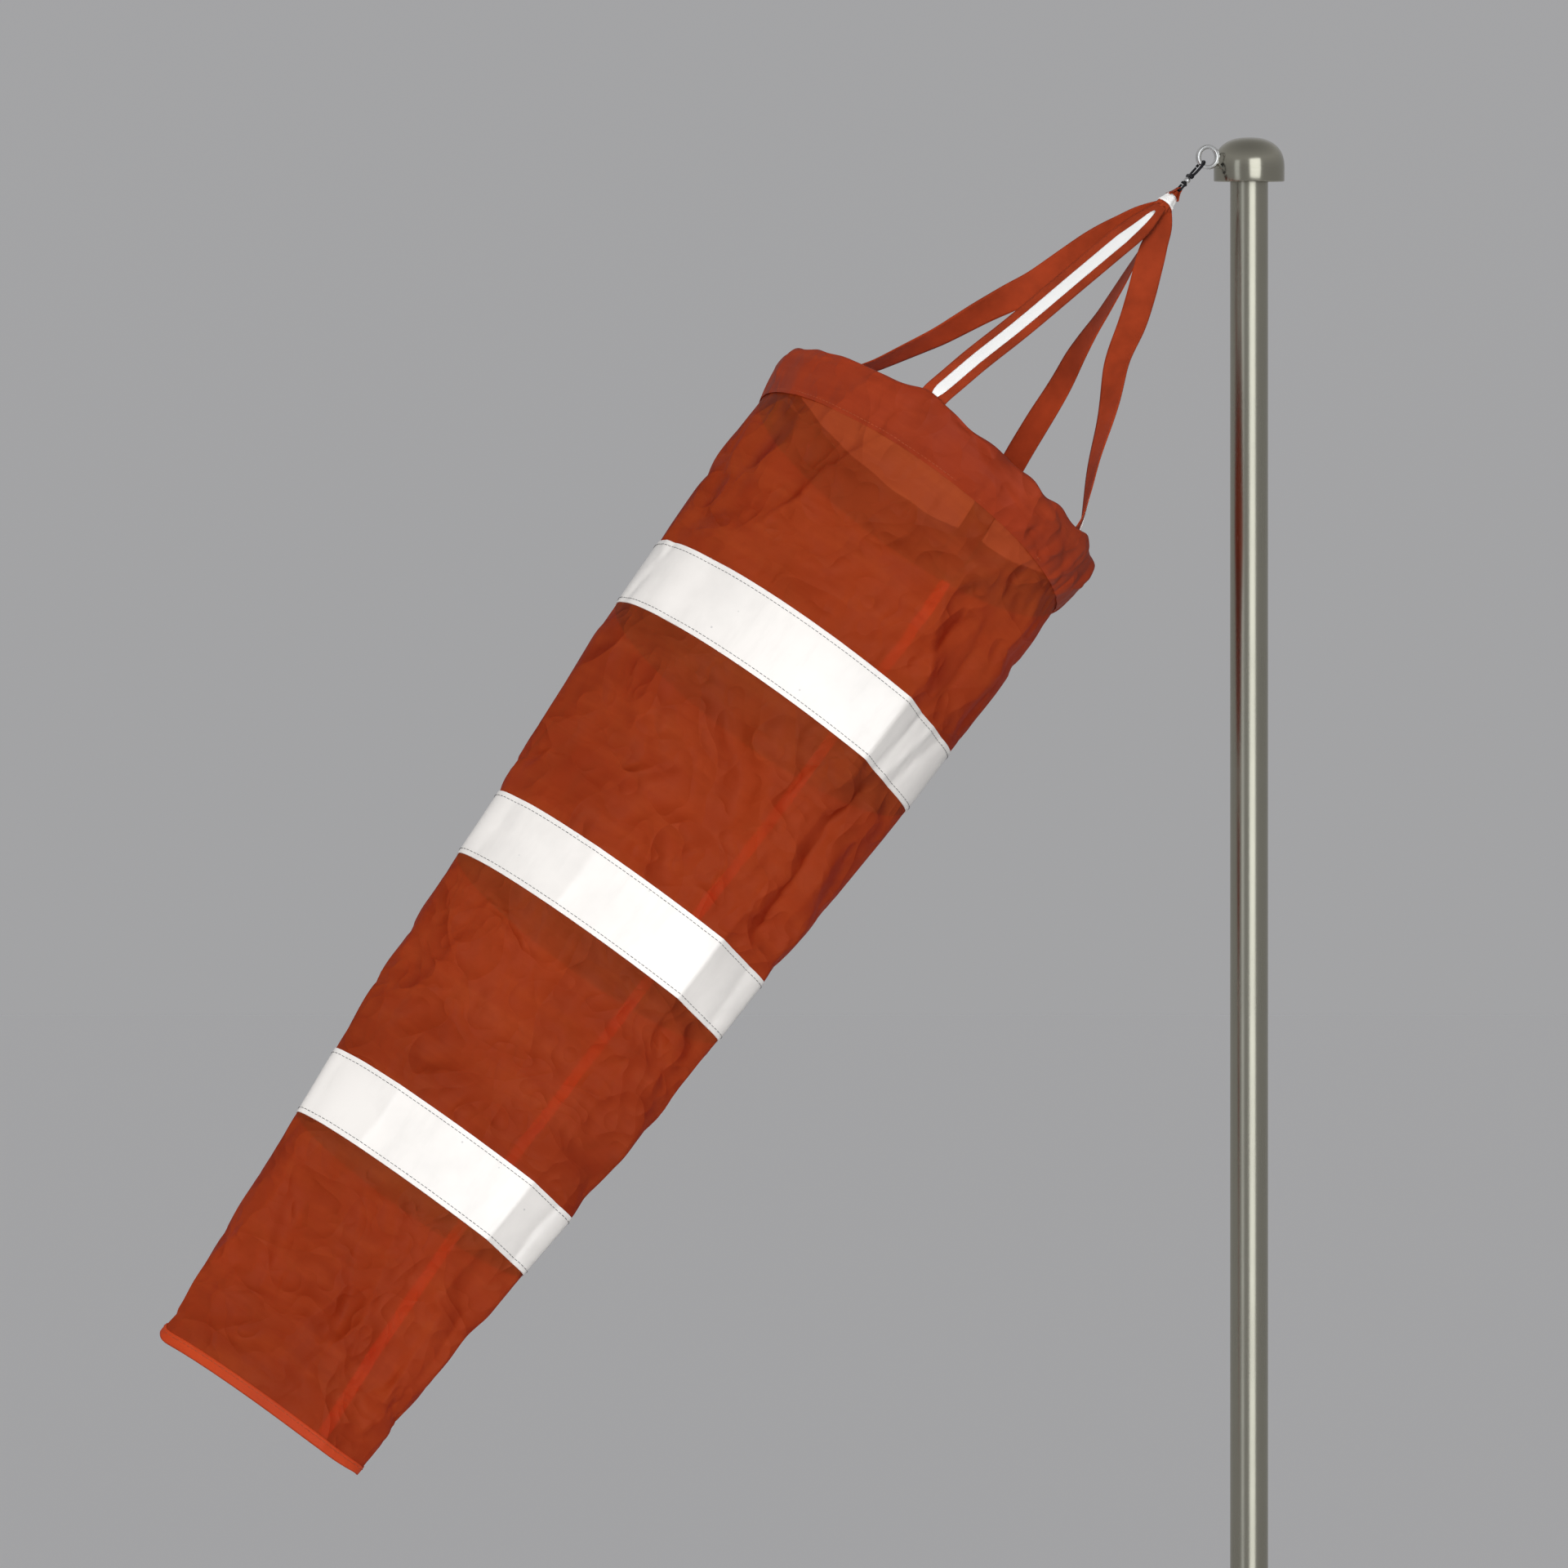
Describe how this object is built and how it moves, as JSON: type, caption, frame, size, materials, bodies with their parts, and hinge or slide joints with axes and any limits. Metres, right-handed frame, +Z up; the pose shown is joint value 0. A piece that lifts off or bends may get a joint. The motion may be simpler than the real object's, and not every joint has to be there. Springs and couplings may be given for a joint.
{
  "type": "windsock with pole",
  "caption": "Orange windsock with silver reflective bands on a wire hoop and four straps, hooked by a swivel to a turning cap on a steel pole with a bolt-down flange.",
  "frame": {"origin": "centre of the base flange's underside, on the pole's axis", "axes": "+Z up the pole; the sock trails towards -X at rest"},
  "size_m": [0.8742, 0.2428, 2],
  "materials": {
    "satin_stainless": "satin",
    "polished_stainless": "polished",
    "bearing_steel": "polished",
    "blackened_steel": "satin black",
    "orange_nylon": "thin woven nylon",
    "orange_ribbon": "woven ribbon",
    "reflective_ribbon": "reflective strip",
    "reflective_tape": "silver reflective tape",
    "hoop_wire": "drawn wire",
    "cage_brass": "satin"
  },
  "bodies": {
    "mast": {"base_flange": "satin_stainless", "pole_socket": "satin_stainless", "socket_screw_1": "blackened_steel", "socket_screw_2": "blackened_steel", "socket_screw_3": "blackened_steel", "pole_tube": "satin_stainless", "pole_plug": "satin_stainless", "plug_screw_1": "satin_stainless", "plug_screw_2": "satin_stainless", "bearing_inner_ring": "bearing_steel", "spindle_washer": "satin_stainless", "spindle_nut": "satin_stainless"},
    "cage": {"bearing_cage": "cage_brass", "bearing_ball_1": "bearing_steel", "bearing_ball_2": "bearing_steel", "bearing_ball_3": "bearing_steel", "bearing_ball_4": "bearing_steel", "bearing_ball_5": "bearing_steel", "bearing_ball_6": "bearing_steel", "bearing_ball_7": "bearing_steel"},
    "head": {"head_cap": "polished_stainless", "eye_ring": "polished_stainless", "bearing_outer_ring": "bearing_steel", "hub_circlip": "blackened_steel"},
    "hook": {"snap_hook": "blackened_steel", "gate_pin": "satin_stainless", "swivel_pin": "satin_stainless", "swivel_bead": "polished_stainless"},
    "gate": {"hook_gate": "blackened_steel"},
    "sock_mouth": {"swivel_eye": "blackened_steel", "bridle_loop": "orange_ribbon", "bridle_gather": "orange_ribbon", "gather_wrap": "reflective_ribbon", "bridle_strap_1": "orange_ribbon", "bridle_strap_2": "orange_ribbon", "bridle_strap_3": "orange_ribbon", "bridle_strap_4": "orange_ribbon", "strap_reflector_1": "reflective_ribbon", "strap_reflector_2": "reflective_ribbon", "strap_reflector_3": "reflective_ribbon", "strap_reflector_4": "reflective_ribbon", "mouth_hoop": "hoop_wire", "mouth_sleeve": "orange_nylon", "sock_front": "orange_nylon", "reflective_band_1": "reflective_tape", "seam_front": "orange_nylon"},
    "sock_tail": {"sock_rear": "orange_nylon", "reflective_band_2": "reflective_tape", "reflective_band_3": "reflective_tape", "seam_rear": "orange_nylon", "tail_hem": "orange_nylon"}
  },
  "joints": [
    {"name": "head_turn", "type": "hinge", "parent": "mast", "child": "head", "pos_m": [0, 0, 1.98], "axis": [0, 0, 1], "continuous": true},
    {"name": "cage_turn", "type": "hinge", "parent": "mast", "child": "cage", "pos_m": [0, 0, 1.98], "axis": [0, 0, 1], "continuous": true},
    {"name": "hook_swing", "type": "hinge", "parent": "head", "child": "hook", "pos_m": [-0.03, 0, 1.9868], "axis": [0, 1, 0], "range_deg": [-20, 52]},
    {"name": "gate_open", "type": "hinge", "parent": "hook", "child": "gate", "pos_m": [-0.04223, 0.0034, 1.97414], "axis": [0.7193, 0, -0.6947], "range_deg": [0, 28], "stiffness_Nm_per_rad": 0.002, "springref_deg": -11.46},
    {"name": "swivel_spin", "type": "hinge", "parent": "hook", "child": "sock_mouth", "pos_m": [-0.03, 0, 1.9868], "axis": [0.6947, 0, 0.7193], "continuous": true},
    {"name": "sock_droop", "type": "hinge", "parent": "sock_mouth", "child": "sock_tail", "pos_m": [-0.39804, 0, 1.56565], "axis": [0, 1, 0], "range_deg": [-12, 4]}
  ],
  "couplings": [
    {"joint": "cage_turn", "follows": "head_turn", "ratio": 0.64}
  ]
}
